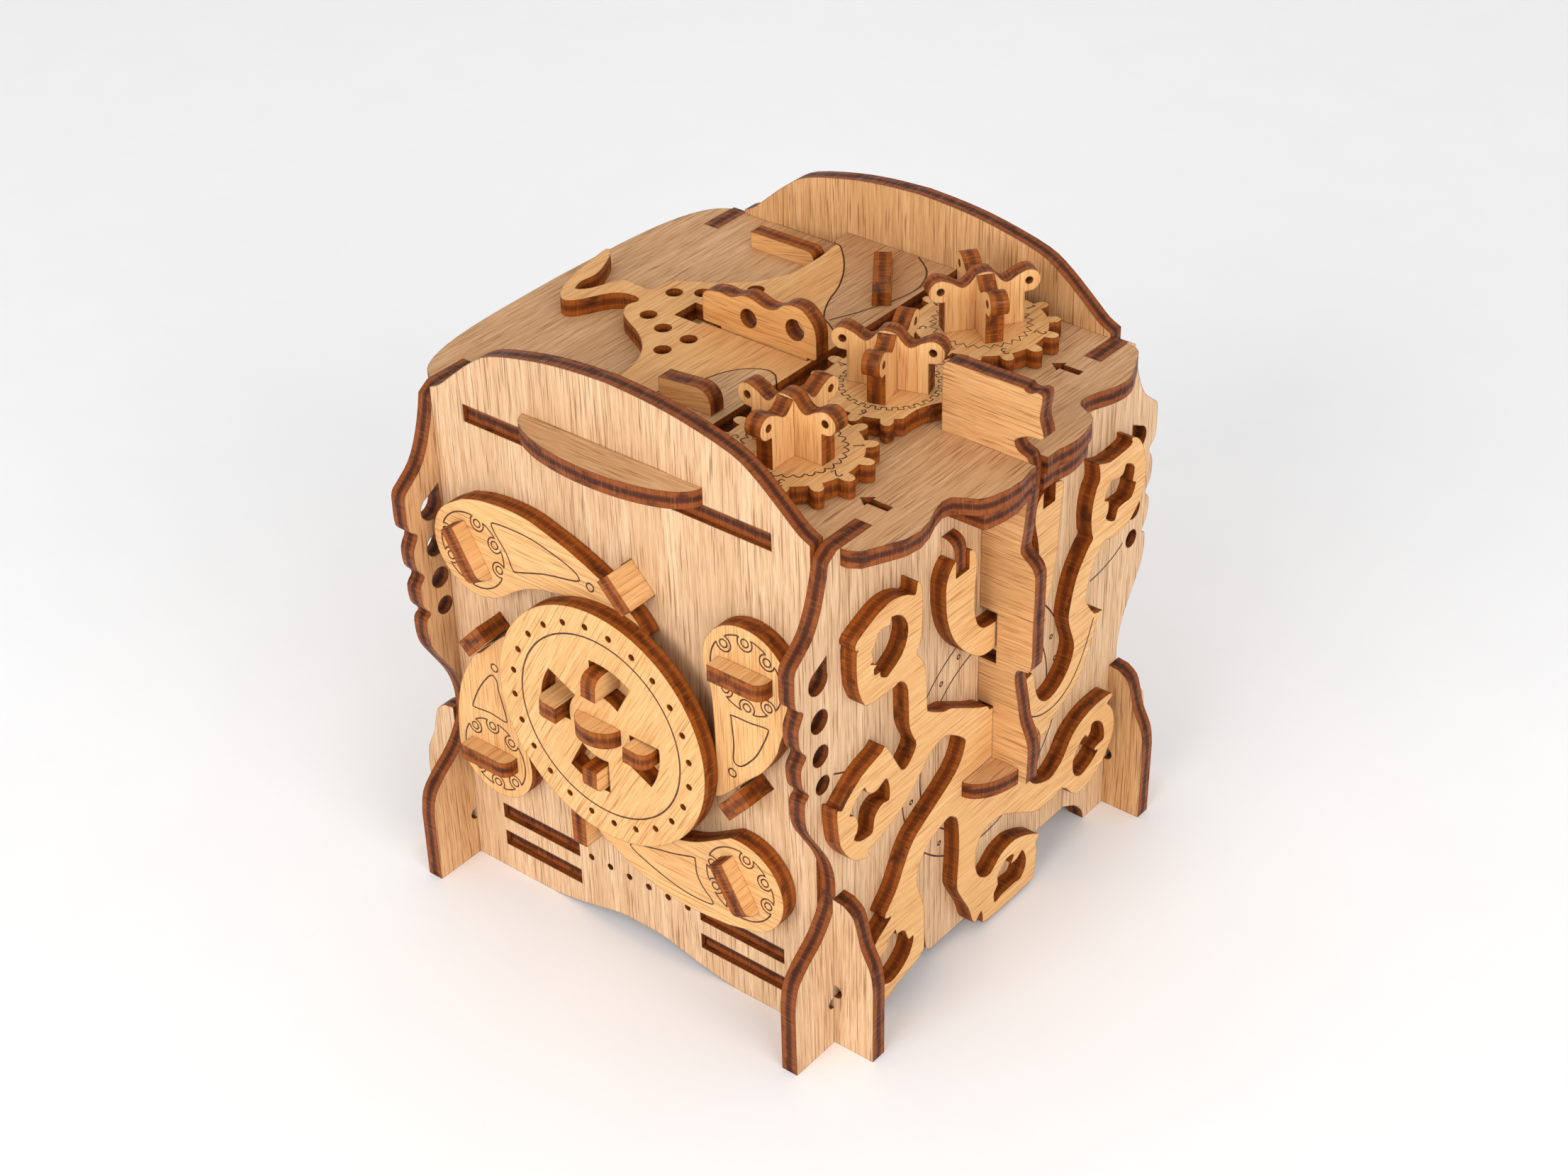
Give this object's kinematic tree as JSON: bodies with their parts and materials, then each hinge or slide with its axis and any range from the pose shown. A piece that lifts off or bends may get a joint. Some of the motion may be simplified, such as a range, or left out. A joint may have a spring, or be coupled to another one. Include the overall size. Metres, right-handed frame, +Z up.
{
  "type": "wooden puzzle box",
  "caption": "Square plywood puzzle box on flared feet with a turning disc and arms on the front, geared knobs on the lid and sea-creature cut-outs.",
  "frame": {"origin": "middle of the overall footprint, at the level the feet stand on", "axes": "+Z up, the front with the disc faces -Y, the side with the large sea creature faces +X"},
  "size_m": [0.135, 0.134, 0.1443],
  "materials": {
    "panel_ply": "matte",
    "light_ply": "matte",
    "edge_ply": "matte",
    "core_wood": "matte"
  },
  "bodies": {
    "case": {"front_panel": "panel_ply", "back_panel": "panel_ply", "left_panel": "panel_ply", "right_panel": "panel_ply", "lower_floor": "panel_ply", "upper_floor": "panel_ply", "lid_plate": "panel_ply", "lid_under_front": "panel_ply", "lid_under_back": "panel_ply", "side_fin": "panel_ply", "side_shelf": "panel_ply", "kraken": "light_ply", "hook_tentacle": "light_ply", "hook_clip": "panel_ply", "manta": "light_ply", "wing_front": "panel_ply", "wing_back": "panel_ply", "front_ledge": "panel_ply", "lid_bar": "edge_ply", "wing_bar": "edge_ply", "wing_grip": "edge_ply", "stop_top": "edge_ply", "stop_right": "edge_ply", "stop_bottom": "edge_ply", "stop_left": "edge_ply"},
    "arm_upper_left": {"arm_upper_left": "light_ply", "bar_upper_left": "edge_ply", "hub_upper_left": "core_wood"},
    "arm_lower_left": {"arm_lower_left": "light_ply", "bar_lower_left": "edge_ply", "hub_lower_left": "core_wood"},
    "arm_lower_right": {"arm_lower_right": "light_ply", "bar_lower_right": "edge_ply", "hub_lower_right": "core_wood"},
    "arm_upper_right": {"arm_upper_right": "light_ply", "bar_upper_right": "edge_ply", "hub_upper_right": "core_wood"},
    "dial": {"dial": "light_ply", "dial_shaft": "core_wood", "dial_grip": "edge_ply"},
    "peg_hub": {"dial_hub": "core_wood", "peg_top": "edge_ply", "peg_left": "edge_ply", "peg_bottom": "edge_ply", "peg_right": "edge_ply"},
    "gear_front": {"gear_front": "light_ply", "gear_hub_front": "core_wood", "knob_front_a": "edge_ply", "knob_front_b": "edge_ply"},
    "gear_middle": {"gear_middle": "light_ply", "gear_hub_middle": "core_wood", "knob_middle_a": "edge_ply", "knob_middle_b": "edge_ply"},
    "gear_back": {"gear_back": "light_ply", "gear_hub_back": "core_wood", "knob_back_a": "edge_ply", "knob_back_b": "edge_ply"},
    "top_fin": {"top_fin": "light_ply"}
  },
  "joints": [
    {"name": "dial_turn", "type": "hinge", "parent": "case", "child": "dial", "pos_m": [-0.002, -0.06, 0.0649], "axis": [0, 1, 0], "continuous": true},
    {"name": "peg_hub_turn", "type": "hinge", "parent": "dial", "child": "peg_hub", "pos_m": [-0.002, -0.06, 0.0649], "axis": [0, 1, 0], "range_deg": [0, 22]},
    {"name": "arm_upper_left_turn", "type": "hinge", "parent": "case", "child": "arm_upper_left", "pos_m": [-0.0402, -0.0563, 0.0922], "axis": [0, 1, 0], "range_deg": [0, 8]},
    {"name": "arm_lower_left_turn", "type": "hinge", "parent": "case", "child": "arm_lower_left", "pos_m": [-0.0397, -0.0563, 0.0376], "axis": [0, 1, 0], "range_deg": [0, 13]},
    {"name": "arm_lower_right_turn", "type": "hinge", "parent": "case", "child": "arm_lower_right", "pos_m": [0.0316, -0.0563, 0.0361], "axis": [0, 1, 0], "range_deg": [0, 12]},
    {"name": "arm_upper_right_turn", "type": "hinge", "parent": "case", "child": "arm_upper_right", "pos_m": [0.0354, -0.0563, 0.0921], "axis": [0, 1, 0], "range_deg": [0, 13]},
    {"name": "gear_middle_turn", "type": "hinge", "parent": "case", "child": "gear_middle", "pos_m": [0.0275, 0, 0.1273], "axis": [0, 0, 1], "range_deg": [-9, 34]},
    {"name": "gear_front_turn", "type": "hinge", "parent": "case", "child": "gear_front", "pos_m": [0.0275, -0.0322, 0.1273], "axis": [0, 0, 1], "range_deg": [-34, 9]},
    {"name": "gear_back_turn", "type": "hinge", "parent": "case", "child": "gear_back", "pos_m": [0.0275, 0.0322, 0.1273], "axis": [0, 0, 1], "range_deg": [-34, 9]},
    {"name": "top_fin_slide", "type": "slide", "parent": "case", "child": "top_fin", "axis": [1, 0, 0], "range_m": [-0.011, 0]}
  ],
  "couplings": [
    {"joint": "gear_front_turn", "follows": "gear_middle_turn", "ratio": -1},
    {"joint": "gear_back_turn", "follows": "gear_middle_turn", "ratio": -1}
  ]
}
